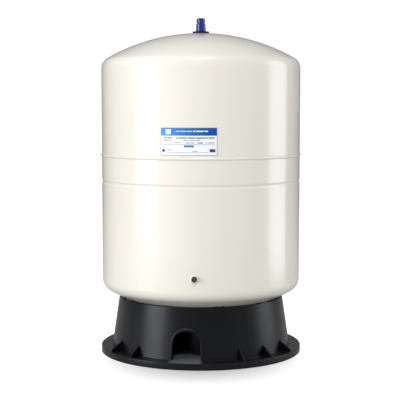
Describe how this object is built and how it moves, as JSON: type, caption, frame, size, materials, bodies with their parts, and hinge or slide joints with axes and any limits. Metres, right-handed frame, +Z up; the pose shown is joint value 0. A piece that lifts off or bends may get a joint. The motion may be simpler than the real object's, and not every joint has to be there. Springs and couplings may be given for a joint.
{
  "type": "expansion vessel",
  "caption": "Upright diaphragm expansion vessel: domed painted steel tank on a conical plastic stand with a pipe arch, capped top water connection and an air valve.",
  "frame": {"origin": "centre of the stand's underside, on the tank's axis", "axes": "+Z up along the tank's axis to the water connection; -Y towards the front, where the pipe arch, the data label and the air valve are; +X to the viewer's right from the front"},
  "size_m": [0.416, 0.4237, 0.6891],
  "materials": {
    "cream_paint": "glossy cream-white baked enamel",
    "liner_plastic": "natural moulded polypropylene",
    "butyl_rubber": "matt black butyl rubber",
    "seal_rubber": "matt black nitrile rubber",
    "zinc_steel": "zinc-plated steel, satin",
    "stainless": "machined stainless steel",
    "spring_steel": "plain spring wire",
    "brass": "machined brass",
    "stand_plastic": "satin black moulded plastic",
    "blue_plastic": "semi-gloss blue polyethylene",
    "valve_cap_plastic": "satin black nylon",
    "label_film": "printed vinyl film, blue and white"
  },
  "bodies": {
    "vessel": {"upper_shell": "cream_paint", "lower_shell": "cream_paint", "girth_weld_bead": "cream_paint", "data_label": "label_film", "water_liner": "liner_plastic", "clench_ring": "zinc_steel", "water_nipple": "stainless", "nipple_seal": "seal_rubber", "nipple_washer": "seal_rubber", "air_valve_boss": "cream_paint", "air_valve_seal": "seal_rubber", "air_valve_stem": "brass", "valve_core_body": "brass", "valve_core_spring": "spring_steel", "base_stand": "stand_plastic", "base_support_ring": "cream_paint", "base_screw_1": "zinc_steel", "base_screw_2": "zinc_steel", "base_screw_3": "zinc_steel", "base_screw_4": "zinc_steel"},
    "diaphragm": {"diaphragm": "butyl_rubber"},
    "nipple_cap": {"nipple_cap": "blue_plastic"},
    "air_valve_cap": {"air_valve_cap": "valve_cap_plastic"},
    "valve_core_plunger": {"valve_core_pin": "brass", "valve_core_seal": "seal_rubber"}
  },
  "joints": [
    {"name": "nipple_cap_off", "type": "slide", "parent": "vessel", "child": "nipple_cap", "axis": [0, 0, 1], "range_m": [0, 0.03]},
    {"name": "air_valve_cap_off", "type": "slide", "parent": "vessel", "child": "air_valve_cap", "axis": [0.0958, -0.9954, 0], "range_m": [0, 0.014]},
    {"name": "valve_core_press", "type": "slide", "parent": "vessel", "child": "valve_core_plunger", "axis": [-0.0958, 0.9954, 0], "range_m": [0, 0.0012], "stiffness_N_per_m": 400, "springref_m": -0.001, "deforming": ["valve_core_spring"]},
    {"name": "diaphragm_flex", "type": "slide", "parent": "vessel", "child": "diaphragm", "axis": [0, 0, -1], "range_m": [0, 0.2], "stiffness_N_per_m": 600, "springref_m": -0.05, "deforming": ["diaphragm"]}
  ]
}
